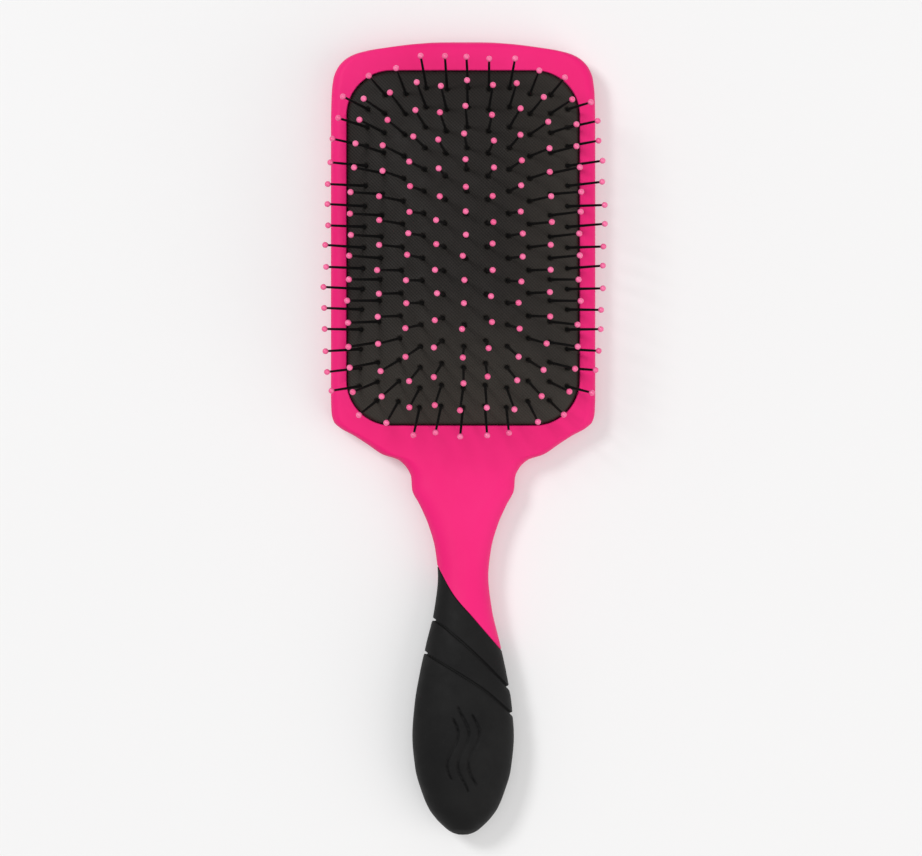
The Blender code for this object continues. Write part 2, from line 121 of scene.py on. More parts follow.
# Grip: the edge between pink and black, and the grooves, as (X, Y) points across the handle
GRIP_EDGE_MM = [
    (-30.0, -28.0), (-12.0, -36.0), (-8.2, -43.2), (-3.1, -52.1), (3.5, -59.6), (12.8, -70.3),
    (30.0, -92.0),
]
GROOVE_EDGES_MM = [
    [(-30.0, -52.0), (-9.4, -60.6), (-1.1, -66.9), (6.8, -74.1), (14.7, -82.3), (30.0, -99.0)],
    [(-30.0, -61.0), (-11.9, -71.8), (-1.2, -78.1), (7.4, -83.7), (16.3, -91.6), (30.0, -105.0)],
]
CURVE_STEP_MM = 0.2  # over which a curve's slope is taken
GROOVE_DEPTH = 1.0 * MM
GROOVE_HALF_WIDTH = 0.42 * MM
# Each groove's banks sink a little towards it, more on the side of the handle's end
LOWER_SHOULDER = 0.16 * MM
UPPER_SHOULDER = 0.05 * MM
SHOULDER_REACH = 0.9 * MM
# The rubber rolls inwards at its edge against the pink
EDGE_ROLL = 0.30 * MM
EDGE_ROLL_REACH = 0.28 * MM
GRIP_WALL = 1.7 * MM
GRIP_STEPS = 64
# Rows from the handle's end to the lower groove, to the upper groove and to the edge
GRIP_ROWS = ((230, 64, 64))
ROW_CROWDING = 0.93  # how closely the rows crowd at those places, below 1
INNER_ROWS = 24
INNER_END = 0.06  # where the hollow for the core ends, as a share of the sleeve's length

# The generic mark on the grip: strands as (X, lowest Y, highest Y), each one the same wave
STRANDS_MM = [(-3.6, -113.0, -93.0), (0.0, -117.0, -89.0), (3.6, -115.0, -91.5)]
WAVE_HEIGHT_MM = 1.9
WAVE_LENGTH_MM = 21.0
WAVE_MIDDLE_MM = -103.0
STRAND_END_MM = 0.26  # a strand's half width at its ends, and how much it swells in the middle
STRAND_SWELL_MM = 0.24
MARK_DEPTH = 0.60 * MM
MARK_TILT = 0.3  # the mark fades in as the surface's upward share goes from this to twice this

# Cushion
DOME_POWER_X = 2.3
DOME_POWER_Y = 3.3
OPENING_CORNER = 15.0 * MM
OPENING_GAP = 0.3 * MM
# The recess's mouth: (depth below the frame's face, how far it is flared)
MOUTH_MM = [(0.75, 0.0), (0.42, 0.03), (0.18, 0.09), (0.03, 0.22), (-0.6, 1.1)]
FLOOR_CLEARANCE = 0.3 * MM
PAD_THICKNESS = 1.2 * MM
PAD_GRID = ((186, 280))
RIM_SKIRT = 1.8 * MM
RIM_ROLL = 1.1 * MM
RIM_DROP = 0.7 * MM
RING_HEIGHT = 0.24 * MM
RING_RADIUS_MM = 1.25
RING_WIDTH_MM = 0.30
DIMPLE_DEPTH = 0.45 * MM
DIMPLE_RADIUS_MM = 0.92
DOME_STEP = 0.1 * MM  # over which the dome's slope is taken

# Pins: distance of each column from the middle, its pin count and half its length along Y
COLUMNS_MM = [
    (-33.8, 15, 46.0), (-28.0, 16, 50.7), (-21.0, 15, 51.0), (-14.1, 16, 53.0), (-7.1, 15, 52.5),
    (0.0, 16, 53.0),
    (7.1, 15, 52.5), (14.1, 16, 53.0), (21.0, 15, 51.0), (28.0, 16, 50.7), (33.8, 15, 46.0),
]
COLUMN_SHIFT = 0.8 * MM
COLUMN_SLANT = 0.016
SLANT_CHANGE = -0.014  # from the middle column to the last
END_CROWDING = 0.05
# Leans: a random one either way, one that all pins share and one that grows towards the sides
LEAN_SEED = 7
PIN_LEAN = math.radians(1.6)
SIDE_LEAN = math.radians(-1.7)
SIDE_SPLAY = math.radians(4.0)
PIN_LENGTH = 22.0 * MM
BALL_RADIUS = 1.0 * MM
BALL_END_DEG = 88.0  # where the ball's last ring lies, just short of its pole
# Stem: (distance from the rubber's surface, radius)
STEM_MM = [
    (-1.0, 0.55), (-0.2, 0.72), (0.35, 0.70), (0.7, 0.55), (1.6, 0.49), (7.0, 0.46),
    (14.0, 0.42), (19.6, 0.38), (20.4, 0.30),
]
STEM_SIDES, BALL_SIDES, BALL_RINGS = ((12, 18, 13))

# Lights: (name, place, length of a side, watts, colour)
LIGHTS = [
    ("key", (-1.38, 1.03, 2.3), 0.7, 32.0, (1.0, 1.0, 1.0)),
    ("fill", (1.5, -0.75, 1.35), 2.0, 18.5, (1.0, 0.97, 0.95)),
    ("top", (0.0, 0.0, 2.6), 1.6, 11.0, (1.0, 1.0, 1.0)),
]
SKY_STRENGTH = 0.40
FLOOR_HALF_SIDE = 6.0
CAMERA_DISTANCE = 2.0  # from the level of the brush's outline
FIELD_WIDTH = 307.3 * MM  # at that level
CAMERA_X = -0.7 * MM
CAMERA_AHEAD = 3.4 * MM  # of the brush's middle


class SmoothTable:
    """Values along a line, read on a smooth curve through a table's rows, without overshoot."""

    def __init__(self, rows):
        table = np.array(rows, float)
        self.places, self.values = table[:, 0], table[:, 1:]
        rise = np.diff(self.values, axis=0) / np.diff(self.places)[:, None]
        before, after = rise[:-1], rise[1:]
        together = before * after > 0
        total = np.where(together, before + after, 1.0)
        middle = np.where(together, 2 * before * after / total, 0.0)
        self.slopes = np.vstack([rise[:1], middle, rise[-1:]])

    def __call__(self, at):
        at = np.clip(np.asarray(at, float), self.places[0], self.places[-1])
        index = np.searchsorted(self.places, at, side="right") - 1
        index = np.clip(index, 0, len(self.places) - 2)
        length = (self.places[index + 1] - self.places[index])[..., None]
        share = (at[..., None] - self.places[index][..., None]) / length
        square, cube = share**2, share**3
        return (
            (2 * cube - 3 * square + 1) * self.values[index]
            + (cube - 2 * square + share) * length * self.slopes[index]
            + (3 * square - 2 * cube) * self.values[index + 1]
            + (cube - square) * length * self.slopes[index + 1]
        )


OUTLINE = SmoothTable(OUTLINE_MM)
PROFILE = SmoothTable(PROFILE_MM)
GRIP_EDGE = SmoothTable(GRIP_EDGE_MM)
GROOVES = [SmoothTable(edge) for edge in GROOVE_EDGES_MM]


def ring_angles(steps):
    """For each point of a ring: its corner's two signs, and its angle's cosine and sine."""
    corners = ((1, 1), (-1, 1), (-1, -1), (1, -1))
    rows = []
    for quarter, (side, up) in enumerate(corners):
        for step in range(steps + 1):
            angle = math.radians(90 * (quarter + step / steps))
            rows.append((side, up, math.cos(angle), math.sin(angle)))
    return np.array(rows).T


def section_points(y, angles, inset=0.0):
    """Points of the brush's surface, pulled inwards: one place along Y for each ring point."""
    side, up, cosine, sine = angles
    half_width = OUTLINE(y / MM)[..., 0] * MM - inset
    bottom, top, roundness = np.moveaxis(PROFILE(y / MM), -1, 0)
    bottom, top = bottom * MM + inset, top * MM - inset
    half_height = (top - bottom) / 2
    handle_share = np.maximum(0.0, (roundness - HEAD_ROUNDNESS) / (1 - HEAD_ROUNDNESS))
    radius_x = HEAD_EDGE_RADIUS + handle_share * (half_width - HEAD_EDGE_RADIUS)
    radius_x = ROUNDING_SHARE * np.minimum(half_width, radius_x)
    height_share = HEAD_EDGE_SHARE + (1 - HEAD_EDGE_SHARE) * handle_share
    radius_z = ROUNDING_SHARE * half_height * height_share
    x = side * (half_width - radius_x) + radius_x * cosine
    z = (top + bottom) / 2 + up * (half_height - radius_z) + radius_z * sine
    return np.stack([x, np.broadcast_to(y, x.shape), z], -1)


def crossing_places(curve, angles):
    """Where along Y a curve across the handle crosses each line that runs down it."""
    y = np.full(angles.shape[1], -50.0 * MM)  # a first guess, which the rounds below bring home
    for _ in range(30):
        x = section_points(y, angles)[..., 0]
        y = curve(x / MM)[..., 0] * MM
    return y


def mesh_from(name, points, faces):
    mesh = bpy.data.meshes.new(name)
    mesh.from_pydata([tuple(p) for p in points], [], faces)
    mesh.validate()
    return mesh


def lofted_mesh(name, *solids):
    """A mesh of closed solids, each run through rings of equal point counts and closed flat."""
    points, faces, first = [], [], 0
    for rings in solids:
        count = len(rings[0])
        for row in range(len(rings) - 1):
            for i in range(count):
                j = (i + 1) % count
                a, b = first + row * count, first + (row + 1) * count
                faces.append((a + i, a + j, b + j, b + i))
        faces.append(tuple(first + i for i in reversed(range(count))))
        faces.append(tuple(first + (len(rings) - 1) * count + i for i in range(count)))
        points += rings
        first += len(rings) * count
    return mesh_from(name, np.concatenate(points), faces)


def add_object(name, mesh, *materials):
    thing = bpy.data.objects.new(name, mesh)
    bpy.context.scene.collection.objects.link(thing)
    for material in materials:
        mesh.materials.append(material)
    return thing


def outward(thing):
    """Turn every face outwards."""
    data = bmesh.new()
    data.from_mesh(thing.data)
    bmesh.ops.recalc_face_normals(data, faces=data.faces)
    data.to_mesh(thing.data)
    data.free()


def smooth_shade(thing, angle_deg):
    """Smooth shading, kept crisp where two faces meet at more than the angle."""
    for polygon in thing.data.polygons:
        polygon.use_smooth = True
    thing.data.set_sharp_from_angle(angle=math.radians(angle_deg))


def apply_modifiers(thing):
    bpy.context.view_layer.update()
    evaluated = thing.evaluated_get(bpy.context.evaluated_depsgraph_get())
    mesh = bpy.data.meshes.new_from_object(evaluated)
    thing.modifiers.clear()
    thing.data = mesh


# Materials


class Nodes:
    """A short way to write a material's node tree.

    The colour and roughness given at the start are what a viewer that reads no nodes shows. Any
    other socket of the shader is given by name, with _ for a space.
    """

    def __init__(self, name, colour, roughness, **sockets):
        self.material = bpy.data.materials.new(name)
        self.material.use_nodes = True
        self.tree = self.material.node_tree
        self.shader = self.tree.nodes["Principled BSDF"]
        self.shader.inputs["Base Color"].default_value = (*colour, 1.0)
        self.shader.inputs["Roughness"].default_value = roughness
        for socket, value in sockets.items():
            self.shader.inputs[socket.replace("_", " ")].default_value = value
        self.place = self.tree.nodes.new("ShaderNodeTexCoord").outputs["Object"]

    def coordinates(self):
        """The object's own X, Y and Z, a socket each."""
        split = self.tree.nodes.new("ShaderNodeSeparateXYZ")
        self.link(self.place, split.inputs[0])
        return split.outputs

    def link(self, source, target):
        self.tree.links.new(source, target)

    def maths(self, operation, first, second=None):
        made = self.tree.nodes.new("ShaderNodeMath")
        made.operation = operation
        for socket, value in zip(made.inputs, (first, second)):
            if isinstance(value, bpy.types.NodeSocket):
                self.link(value, socket)
            elif value is not None:
                socket.default_value = value
        return made.outputs[0]

    def noise(self, size, detail=3.0, roughness=0.5):
        """Noise from 0 to 1 whose features are about the given size."""
        made = self.tree.nodes.new("ShaderNodeTexNoise")
        made.inputs["Scale"].default_value = 1 / size
        made.inputs["Detail"].default_value = detail
        made.inputs["Roughness"].default_value = roughness
        self.link(self.place, made.inputs["Vector"])
        return made.outputs["Fac"]

    def remap(self, value, from_low, from_high, to_low, to_high):
        made = self.tree.nodes.new("ShaderNodeMapRange")
        numbers = (from_low, from_high, to_low, to_high)
        for socket, number in zip(("From Min", "From Max", "To Min", "To Max"), numbers):
            made.inputs[socket].default_value = number
        self.link(value, made.inputs["Value"])
        return made.outputs["Result"]

    def mix(self, factor, low, high):
        made = self.tree.nodes.new("ShaderNodeMix")
        made.data_type = "RGBA"
        self.link(factor, made.inputs["Factor"])
        for socket, colour in ((made.inputs[6], low), (made.inputs[7], high)):
            if isinstance(colour, bpy.types.NodeSocket):
                self.link(colour, socket)
            else:
                socket.default_value = (*colour, 1.0)
        return made.outputs[2]

    def bump(self, height, distance, strength):
        made = self.tree.nodes.new("ShaderNodeBump")
        made.inputs["Distance"].default_value = distance
        made.inputs["Strength"].default_value = strength
        self.link(height, made.inputs["Height"])
        self.link(made.outputs["Normal"], self.shader.inputs["Normal"])

    def set(self, socket, value):
        self.link(value, self.shader.inputs[socket])


def pink_soft_touch():
    """Soft-touch lacquer: matte, with a fine eggshell grain and faint handling marks."""
    deep, pale, rubbed = (0.865, 0.0112, 0.178), (0.915, 0.0158, 0.203), (0.94, 0.035, 0.25)
    m = Nodes(
        "pink_soft_touch", (0.90, 0.008, 0.18), 0.55, Specular_IOR_Level=0.18,
        Sheen_Weight=0.09, Sheen_Roughness=0.3, Sheen_Tint=(1.0, 0.45, 0.70, 1.0),
    )
    cloud = m.remap(m.noise(45 * MM, 2.0), 0.35, 0.65, 0.0, 1.0)
    scuff = m.remap(m.noise(3.5 * MM, 6.0, 0.65), 0.62, 0.80, 0.0, 0.16)
    m.set("Base Color", m.mix(scuff, m.mix(cloud, deep, pale), rubbed))
    m.set("Roughness", m.remap(m.noise(6 * MM, 5.0, 0.6), 0.3, 0.7, 0.50, 0.60))
    m.bump(m.noise(0.22 * MM, 3.0, 0.6), 0.02 * MM, 0.5)
    return m.material


def black_grip_rubber():
    """Moulded soft rubber: dead matte, finely pebbled, a little greyer where it is handled."""
    black, worn, grey = (0.0064, 0.0064, 0.0066), (0.0100, 0.0099, 0.0098), (0.024, 0.023, 0.022)
    m = Nodes(
        "black_grip_rubber", (0.012, 0.012, 0.012), 0.64, Specular_IOR_Level=0.13,
        Sheen_Weight=0.02,
    )
    handled = m.remap(m.noise(18 * MM, 4.0, 0.55), 0.35, 0.70, 0.0, 1.0)
    dust = m.remap(m.noise(1.1 * MM, 4.0, 0.7), 0.60, 0.78, 0.0, 0.35)
    m.set("Base Color", m.mix(dust, m.mix(handled, black, worn), grey))
    m.set("Roughness", m.remap(m.noise(4 * MM, 4.0, 0.6), 0.3, 0.7, 0.54, 0.68))
    m.bump(m.noise(0.35 * MM, 4.0, 0.65), 0.05 * MM, 0.6)
    return m.material


def lattice(m, pitch, angle_deg):
    """Fine parallel ribs across the plan, from 0 in the valleys to 1 on the ribs."""
    place = m.coordinates()
    angle = math.radians(angle_deg)
    along = m.maths("MULTIPLY", place["X"], math.cos(angle) * math.tau / pitch)
    across = m.maths("MULTIPLY", place["Y"], math.sin(angle) * math.tau / pitch)
    wave = m.maths("SINE", m.maths("ADD", along, across))
    return m.remap(wave, -1.0, 1.0, 0.0, 1.0)


def cushion_rubber():
    """Charcoal rubber with a fine diagonal weave, and a painted sheen that makes it lighter and
    warmer low down and on the right.
    """
    # The second colour is painted sheen: the lighter, warmer tone of the dome's lower and right
    # slopes, where light grazes them.
    charcoal, painted_sheen_colour, rib = (0.0086, 0.0075, 0.0073), (0.042, 0.036, 0.030), (0.055, 0.047, 0.039)
    pitch = 0.82 * MM
    m = Nodes(
        "charcoal_cushion_rubber", (0.014, 0.012, 0.011), 0.6, Specular_IOR_Level=0.16,
        Sheen_Weight=0.05, Sheen_Roughness=0.5, Sheen_Tint=(1.0, 0.9, 0.78, 1.0),
    )
    strong = lattice(m, pitch, 45.0)
    weak = lattice(m, pitch, -45.0)
    weave = m.maths("ADD", m.maths("MULTIPLY", strong, 0.65), m.maths("MULTIPLY", weak, 0.35))
    place = m.coordinates()
    # Painted sheen: the colour grows lighter and warmer towards the bottom and the right, patchily,
    # standing in for light grazing the dome.
    lower = m.remap(place["Y"], 50 * MM, 6 * MM, 0.0, 1.0)
    right = m.remap(place["X"], 12 * MM, 38 * MM, 0.0, 0.7)
    patchy = m.remap(m.noise(20 * MM), 0.3, 0.7, 0.7, 1.0)
    painted_sheen = m.maths("MULTIPLY", m.maths("MAXIMUM", lower, right), patchy)
    base = m.mix(painted_sheen, charcoal, painted_sheen_colour)
    m.set("Base Color", m.mix(m.maths("MULTIPLY", weave, 0.36), base, rib))
    m.set("Roughness", m.remap(m.noise(5 * MM, 4.0), 0.3, 0.7, 0.52, 0.68))
    m.bump(weave, 0.09 * MM, 0.9)
    return m.material


def pin_nylon():
    """Black nylon: satin, with faint drawing lines."""
    dark, light = (0.0035, 0.0035, 0.0038), (0.0075, 0.0075, 0.008)
    m = Nodes("black_pin_nylon", (0.006, 0.006, 0.0065), 0.38, Specular_IOR_Level=0.3)
    m.set("Base Color", m.mix(m.noise(3 * MM), dark, light))
    m.set("Roughness", m.remap(m.noise(1.2 * MM, 4.0), 0.3, 0.7, 0.30, 0.46))
    m.bump(m.noise(0.3 * MM, 3.0), 0.01 * MM, 0.4)
    return m.material


def ball_tip_pink():
    """Dipped pink tips: smooth, slightly waxy, each a touch different from the next."""
    deep, pale = (0.90, 0.10, 0.29), (0.97, 0.17, 0.39)
    m = Nodes(
        "pink_ball_tip", (0.95, 0.13, 0.33), 0.32, Specular_IOR_Level=0.5,
        Coat_Weight=0.25, Coat_Roughness=0.15,
    )
    m.set("Base Color", m.mix(m.remap(m.noise(6 * MM), 0.35, 0.65, 0.0, 1.0), deep, pale))
    m.set("Roughness", m.remap(m.noise(0.8 * MM, 3.0), 0.3, 0.7, 0.27, 0.40))
    m.bump(m.noise(0.6 * MM, 2.0), 0.01 * MM, 0.3)
    return m.material


def light_table():
    """Pale acrylic lit a little from below, which keeps the shadows on it light and neutral."""
    dull, bright = (0.670, 0.670, 0.672), (0.680, 0.680, 0.682)
    m = Nodes(
        "light_table", (0.675, 0.675, 0.675), 0.85, Specular_IOR_Level=0.1,
        Emission_Strength=0.22, Emission_Color=(1.0, 1.0, 1.0, 1.0),
    )
    m.set("Base Color", m.mix(m.noise(150 * MM), dull, bright))
    return m.material


# The paddle


def stations(first_y, last_y, spacing):
    """Places along Y, spaced evenly along the outline, so that quick turns get more of them."""
    fine = np.linspace(first_y, last_y, 4000)
    width = OUTLINE(fine / MM)[..., 0] * MM
    steps = np.hypot(np.diff(fine), np.diff(width))
    travelled = np.concatenate([[0.0], np.cumsum(steps)])
    count = max(2, math.ceil(travelled[-1] / spacing) + 1)
    return np.interp(np.linspace(0, travelled[-1], count), travelled, fine)


def rounded_rectangle(centre, half, corner):
    side, up, cosine, sine = ring_angles(16)
    x = centre[0] + side * (half[0] - corner) + corner * cosine
    y = centre[1] + up * (half[1] - corner) + corner * sine
    return np.column_stack([x, y])


def recess_cutter(centre, half, floor_z):
    """The opening's shape, flared at its mouth, so that the frame's inner edge is rounded."""
    levels = [(floor_z, 0.0)]
    levels += [(FRAME_FACE_Z - depth * MM, flare * MM) for depth, flare in MOUTH_MM]
    rings = []
    for z, flare in levels:
        wide = (half[0] + flare, half[1] + flare)
        plan = rounded_rectangle(centre, wide, OPENING_CORNER + flare)
        rings.append(np.column_stack([plan, np.full(len(plan), z)]))
    return add_object("recess_cutter", lofted_mesh("recess_cutter", rings))


def build_paddle(opening_centre, opening_half, floor_z, material):
    """The paddle in one piece: core inside the grip, edge, neck, and head with its recess."""
    angles = ring_angles(PADDLE_STEPS)
    edge = crossing_places(GRIP_EDGE, angles)
    core_end = np.full_like(edge, CORE_END_Y)
    rings = []
    for t in np.linspace(0, 1, CORE_ROWS):
        rings.append(section_points(core_end + (edge - core_end) * t, angles, CORE_INSET))
    rings += [section_points(edge + ahead, angles, inset) for ahead, inset in PINK_EDGE]
    start = edge + PINK_EDGE[-1][0]
    for t in np.linspace(0, 1, NECK_ROWS)[1:]:
        rings.append(section_points(start + (NECK_JOIN_Y - start) * t, angles))
    for y in stations(NECK_JOIN_Y, TOP_Y, HEAD_SPACING)[1:]:
        rings.append(section_points(np.full_like(edge, y), angles))
    paddle = add_object("paddle_shell", lofted_mesh("paddle_shell", rings), material)
    outward(paddle)
    cutter = recess_cutter(opening_centre, opening_half, floor_z)
    outward(cutter)
    cut = paddle.modifiers.new("recess", "BOOLEAN")
    cut.operation = "DIFFERENCE"
    cut.solver = "EXACT"
    cut.object = cutter
    apply_modifiers(paddle)
    bpy.data.objects.remove(cutter, do_unlink=True)
    smooth_shade(paddle, 50.0)
    weighted = paddle.modifiers.new("weighted", "WEIGHTED_NORMAL")
    weighted.keep_sharp = True
    weighted.weight = 60
    return paddle


# The grip


def distance_to(curve, points):
    """How far each point is from a curve across the handle, seen in plan, with its sign."""
    x, y = points[..., 0] / MM, points[..., 1] / MM
    rise = curve(x + CURVE_STEP_MM)[..., 0] - curve(x - CURVE_STEP_MM)[..., 0]
    slope = rise / (2 * CURVE_STEP_MM)
    return (y - curve(x)[..., 0]) / np.hypot(1.0, slope) * MM


def strand_mark(points):
    """How deep the generic mark is pressed in, from 0 to 1: wavy strands that run side by side."""
    x, y = points[..., 0] / MM, points[..., 1] / MM
    depth = np.zeros_like(x)
    for offset, low, high in STRANDS_MM:
        share = np.clip((y - low) / (high - low), 0.0, 1.0)
        phase = (y - WAVE_MIDDLE_MM) * math.tau / WAVE_LENGTH_MM
        path = offset + WAVE_HEIGHT_MM * np.sin(phase)
        slope = WAVE_HEIGHT_MM * math.tau / WAVE_LENGTH_MM * np.cos(phase)
        away = np.abs(x - path) / np.hypot(1.0, slope)
        past = np.maximum(np.maximum(low - y, y - high), 0.0)
        width = STRAND_END_MM + STRAND_SWELL_MM * np.sin(math.pi * share)
        depth = np.maximum(depth, np.exp(-((np.hypot(away, past) / width) ** 4)))
    return depth


def build_grip(material):
    """The rubber sleeve, dense enough to carry its grooves and its mark as real shape."""
    angles = ring_angles(GRIP_STEPS)
    edge = crossing_places(GRIP_EDGE, angles) - PIECE_GAP
    grooves = [crossing_places(curve, angles) for curve in reversed(GROOVES)]
    stops = [np.full_like(edge, END_Y), *grooves, edge]
    grid = []
    for start, stop, count in zip(stops, stops[1:], GRIP_ROWS):
        for t in np.linspace(0, 1, count, endpoint=False):
            share = t - ROW_CROWDING * math.sin(math.tau * t) / math.tau
            grid.append(section_points(start + (stop - start) * share, angles))
    grid.append(section_points(edge, angles))
    outer = np.array(grid)
    across = np.roll(outer, -1, 1) - np.roll(outer, 1, 1)
    along = np.gradient(outer, axis=0)
    normal = np.cross(along, across)
    normal /= np.maximum(np.linalg.norm(normal, axis=-1, keepdims=True), 1e-12)
    depth = np.zeros(outer.shape[:2])
    for curve in GROOVES:
        away = distance_to(curve, outer)
        shoulder = np.where(away < 0, LOWER_SHOULDER, UPPER_SHOULDER)
        depth += GROOVE_DEPTH * np.exp(-((away / GROOVE_HALF_WIDTH) ** 8))
        depth += shoulder * np.exp(-((away / SHOULDER_REACH) ** 2))
    depth += EDGE_ROLL * np.exp(-(((edge - outer[..., 1]) / EDGE_ROLL_REACH) ** 2))
    facing_up = np.clip((normal[..., 2] - MARK_TILT) / MARK_TILT, 0.0, 1.0)
    depth += MARK_DEPTH * strand_mark(outer) * facing_up
    outer = outer - normal * depth[..., None]
    inner = []
    for t in np.linspace(1, INNER_END, INNER_ROWS):
        inner.append(section_points(END_Y + (edge - END_Y) * t, angles, GRIP_WALL))
    grip = add_object("grip_rubber", lofted_mesh("grip_rubber", [*outer, *inner]), material)
    outward(grip)
    smooth_shade(grip, 60.0)
    return grip


# The cushion and its pins


class Cushion:
    """The cushion's place and dome, read from the CAD node."""

    def __init__(self):
        low, high = (Vector(v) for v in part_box("cushion_pad"))
        self.centre = (low + high) / 2
        self.half = (high - low) / 2
        self.rim_z = low.z + RIM_SKIRT
        self.rise = high.z - self.rim_z
        self.opening = (self.half.x + OPENING_GAP, self.half.y + OPENING_GAP)

    def height(self, x, y):
        across = np.minimum(np.abs(x - self.centre.x) / self.opening[0], 1.0)
        along = np.minimum(np.abs(y - self.centre.y) / self.opening[1], 1.0)
        return self.rise * (1 - across**DOME_POWER_X) * (1 - along**DOME_POWER_Y)

    def normal(self, x, y):
        rise_x = self.height(x + DOME_STEP, y) - self.height(x - DOME_STEP, y)
        rise_y = self.height(x, y + DOME_STEP) - self.height(x, y - DOME_STEP)
        slope_x, slope_y = rise_x / (2 * DOME_STEP), rise_y / (2 * DOME_STEP)
        return Vector((-slope_x, -slope_y, 1.0)).normalized()


def pin_places(cushion):
    """Every pin: (column number, 'upper' or 'lower') to a list of (base point, direction)."""
    lean = random.Random(LEAN_SEED)
    groups = {}
    for number, (x_mm, count, half_mm) in enumerate(COLUMNS_MM, start=1):
        aside = x_mm / COLUMNS_MM[-1][0]
        for i in range(count):
            share = 2 * i / (count - 1) - 1
            along = half_mm * MM * share * (1 + END_CROWDING * (1 - share**2))
            slant = COLUMN_SLANT + SLANT_CHANGE * aside
            x = cushion.centre.x + x_mm * MM + COLUMN_SHIFT + slant * along
            y = cushion.centre.y + along
            base = Vector((x, y, cushion.rim_z + cushion.height(x, y)))
            about_x = lean.uniform(-PIN_LEAN, PIN_LEAN)
            about_y = lean.uniform(-PIN_LEAN, PIN_LEAN) + SIDE_LEAN + SIDE_SPLAY * aside
            axis = cushion.normal(x, y)
            axis.rotate(Euler((about_x, about_y, 0.0)))
            half = "lower" if i < count // 2 else "upper"
            groups.setdefault((number, half), []).append((base, axis))
    return groups


def pad_plan(cushion, inset):
    """Plan points of a grid that is mapped onto the rounded opening."""
    half_x, half_y = cushion.half.x - inset, cushion.half.y - inset
    u, v = (np.linspace(-1, 1, count) for count in PAD_GRID)
    u, v = np.meshgrid(u, v, indexing="ij")
    x, y = u * half_x, v * half_y
    corner = OPENING_CORNER - inset
    reach_x, reach_y = half_x - corner, half_y - corner
    side_x = np.maximum(np.abs(x) - reach_x, 0.0) / corner
    side_y = np.maximum(np.abs(y) - reach_y, 0.0) / corner
    length = np.hypot(side_x, side_y)
    longer = np.maximum(side_x, side_y)
    scale = np.where(length > 0, longer / np.maximum(length, 1e-9), 1.0)
    in_corner = (side_x > 0) & (side_y > 0)
    x = np.where(in_corner, np.sign(x) * (reach_x + corner * side_x * scale), x)
    y = np.where(in_corner, np.sign(y) * (reach_y + corner * side_y * scale), y)
    return cushion.centre.x + x, cushion.centre.y + y


def rim_distance(cushion, x, y):
    """How far each plan point is inside the cushion's rounded outline."""
    qx = np.abs(x - cushion.centre.x) - (cushion.half.x - OPENING_CORNER)
    qy = np.abs(y - cushion.centre.y) - (cushion.half.y - OPENING_CORNER)
    from_corner = np.hypot(np.maximum(qx, 0), np.maximum(qy, 0))
    return OPENING_CORNER - (from_corner + np.minimum(np.maximum(qx, qy), 0))


def border():
    """The pad grid's outer points, in order round it."""
    last_i, last_j = PAD_GRID[0] - 1, PAD_GRID[1] - 1
    return [
        *((i, 0) for i in range(last_i)),
        *((last_i, j) for j in range(last_j)),
        *((i, last_j) for i in range(last_i, 0, -1)),
        *((0, j) for j in range(last_j, 0, -1)),
    ]


def pad_surface(cushion, groups):
    """The rubber's upper side: its dome, rolled rim, and a ring and dimple at every pin."""
    x, y = pad_plan(cushion, 0.0)
    share = np.clip(rim_distance(cushion, x, y) / RIM_ROLL, 0.0, 1.0)
    height = cushion.height(x, y)
    height = height * np.sqrt(1 - (1 - share) ** 2) - RIM_DROP * (1 - share) ** 3
    for pins in groups.values():
        for base, _ in pins:
            away = np.hypot(x - base.x, y - base.y) / MM
            ring = ((away - RING_RADIUS_MM) / RING_WIDTH_MM) ** 2
            height += RING_HEIGHT * np.exp(-ring)
            height -= DIMPLE_DEPTH * np.exp(-((away / DIMPLE_RADIUS_MM) ** 4))
    return np.stack([x, y, cushion.rim_z + height], -1)


def build_cushion(cushion, groups, material):
    """The domed rubber, closed round its edge by a skirt."""
    count_x, count_y = PAD_GRID
    top = pad_surface(cushion, groups)
    low_x, low_y = pad_plan(cushion, PAD_THICKNESS)
    low_z = cushion.rim_z + cushion.height(low_x, low_y) - PAD_THICKNESS
    bottom = np.stack([low_x, low_y, low_z], -1)
    keys = border()
    foot_z = cushion.rim_z - RIM_SKIRT
    outer_foot = np.array([(top[k][0], top[k][1], foot_z) for k in keys])
    inner_foot = np.array([(bottom[k][0], bottom[k][1], foot_z) for k in keys])
    points = np.concatenate([top.reshape(-1, 3), bottom.reshape(-1, 3), outer_foot, inner_foot])
    size = count_x * count_y
    faces = []
    for i in range(count_x - 1):
        for j in range(count_y - 1):
            a = i * count_y + j
            b = size + a
            faces.append((a, a + count_y, a + count_y + 1, a + 1))
            faces.append((b, b + 1, b + count_y + 1, b + count_y))
    rows = [[i * count_y + j for i, j in keys]]
    rows.append([2 * size + n for n in range(len(keys))])
    rows.append([2 * size + len(keys) + n for n in range(len(keys))])
    rows.append([size + i * count_y + j for i, j in keys])
    for upper, lower in zip(rows, rows[1:]):
        for n in range(len(keys)):
            m = (n + 1) % len(keys)
            faces.append((upper[n], lower[n], lower[m], upper[m]))
    pad = add_object("cushion_dome", mesh_from("cushion_dome", points, faces), material)
    outward(pad)
    smooth_shade(pad, 60.0)
    return pad


def turned_rings(base, axis, profile, sides):
    """Rings of points about a pin's own line, from a list of (distance along it, radius)."""
    along = axis.cross(Vector((1.0, 0.0, 0.0))).normalized()
    across = along.cross(axis).normalized()
    angles = np.arange(sides) * math.tau / sides
    circle = np.outer(np.cos(angles), across) + np.outer(np.sin(angles), along)
    return [np.array(base + axis * distance) + circle * radius for distance, radius in profile]


def ball_profile():
    """A ball at the pin's end, as (distance along the pin, radius)."""
    centre = PIN_LENGTH - BALL_RADIUS
    angles = np.radians(np.linspace(-BALL_END_DEG, BALL_END_DEG, BALL_RINGS))
    return [(centre + BALL_RADIUS * math.sin(a), BALL_RADIUS * math.cos(a)) for a in angles]


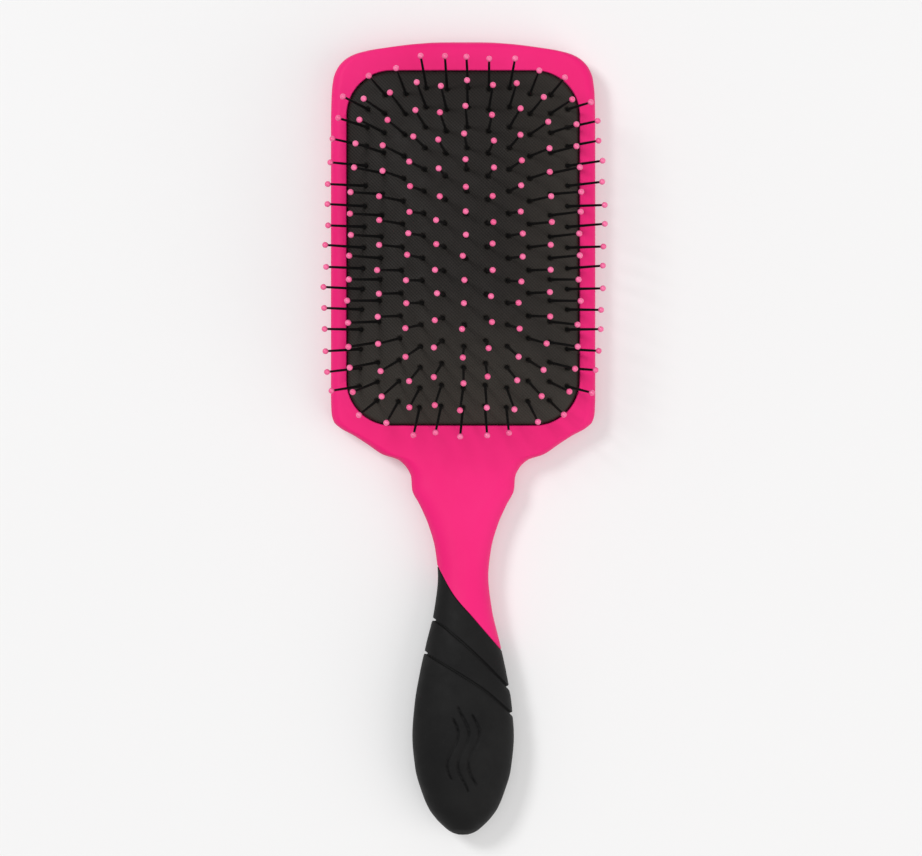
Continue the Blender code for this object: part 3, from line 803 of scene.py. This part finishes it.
def build_pins(number, half, pins, nylon, pink):
    """The stems of half a column, and their ball tips."""
    stem = [(distance * MM, radius * MM) for distance, radius in STEM_MM]
    made = []
    for kind, profile, sides, material in (
        ("pins", stem, STEM_SIDES, nylon),
        ("tips", ball_profile(), BALL_SIDES, pink),
    ):
        name = f"{kind}_{number:02d}_{half}"
        solids = [turned_rings(base, axis, profile, sides) for base, axis in pins]
        piece = add_object(name, lofted_mesh(name, *solids), material)
        outward(piece)
        smooth_shade(piece, 70.0)
        made.append(piece)
    return made


# The room


def area_light(name, place, target, size, power, colour):
    data = bpy.data.lights.new(name, "AREA")
    data.shape = "RECTANGLE"
    data.size = data.size_y = size
    data.energy = power
    data.color = colour
    lamp = bpy.data.objects.new(name, data)
    lamp.location = place
    lamp.rotation_euler = (Vector(target) - Vector(place)).to_track_quat("-Z", "Y").to_euler()
    bpy.context.scene.collection.objects.link(lamp)


def build_room(low, high):
    """A plain pale floor, and soft light from the upper left, the right, above and all round."""
    side, z = FLOOR_HALF_SIDE, low.z - PIECE_GAP
    corners = [(-side, -side, z), (side, -side, z), (side, side, z), (-side, side, z)]
    floor = add_object("floor", mesh_from("floor", corners, [(0, 1, 2, 3)]), light_table())
    middle = ((low.x + high.x) / 2, (low.y + high.y) / 2, 0.0)
    for name, place, size, power, colour in LIGHTS:
        area_light(name, place, middle, size, power, colour)
    world = bpy.data.worlds.new("studio")
    world.use_nodes = True
    background = world.node_tree.nodes["Background"]
    background.inputs["Color"].default_value = (1.0, 1.0, 1.0, 1.0)
    background.inputs["Strength"].default_value = SKY_STRENGTH
    bpy.context.scene.world = world
    bpy.context.scene.view_settings.view_transform = "Standard"


def build_camera(low, high):
    """Straight down on the brush, with the head at the top of the picture."""
    data = bpy.data.cameras.new("camera")
    data.sensor_width = 36.0
    data.lens = data.sensor_width * CAMERA_DISTANCE / FIELD_WIDTH
    data.clip_start, data.clip_end = 0.01, 20.0
    camera = bpy.data.objects.new("camera", data)
    outline_z = FRAME_FACE_Z / 2
    y = (low.y + high.y) / 2 + CAMERA_AHEAD
    camera.location = (CAMERA_X, y, outline_z + CAMERA_DISTANCE)
    bpy.context.scene.collection.objects.link(camera)
    bpy.context.scene.camera = camera


def main():
    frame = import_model()
    low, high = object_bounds()
    build_camera(low, high)
    build_room(low, high)

    pink, black, rubber = pink_soft_touch(), black_grip_rubber(), cushion_rubber()
    nylon, tip = pin_nylon(), ball_tip_pink()

    cushion = Cushion()
    centre = (cushion.centre.x, cushion.centre.y)
    floor_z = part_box("cushion_retainer")[0][2] - FLOOR_CLEARANCE
    paddle = build_paddle(centre, cushion.opening, floor_z, pink)
    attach(paddle, "paddle")
    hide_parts("paddle_body")

    grip = build_grip(black)
    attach(grip, "paddle")
    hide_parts("grip_sleeve")

    groups = pin_places(cushion)
    pad = build_cushion(cushion, groups, rubber)
    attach(pad, "paddle")
    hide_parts("cushion_pad")
    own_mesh(pad)

    for (number, half), pins in groups.items():
        stems, tips = build_pins(number, half, pins, nylon, tip)
        body = f"column_{number:02d}_{half}"
        for piece, slot in ((stems, "black_pin_nylon"), (tips, "pink_ball_tip")):
            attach(piece, body)
        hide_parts(f"pin_column_{number:02d}_{half}")

    retainer = frame["nodes"]["cushion_retainer"]
    for material_slot in retainer.material_slots:
        material_slot.material = nylon


main()
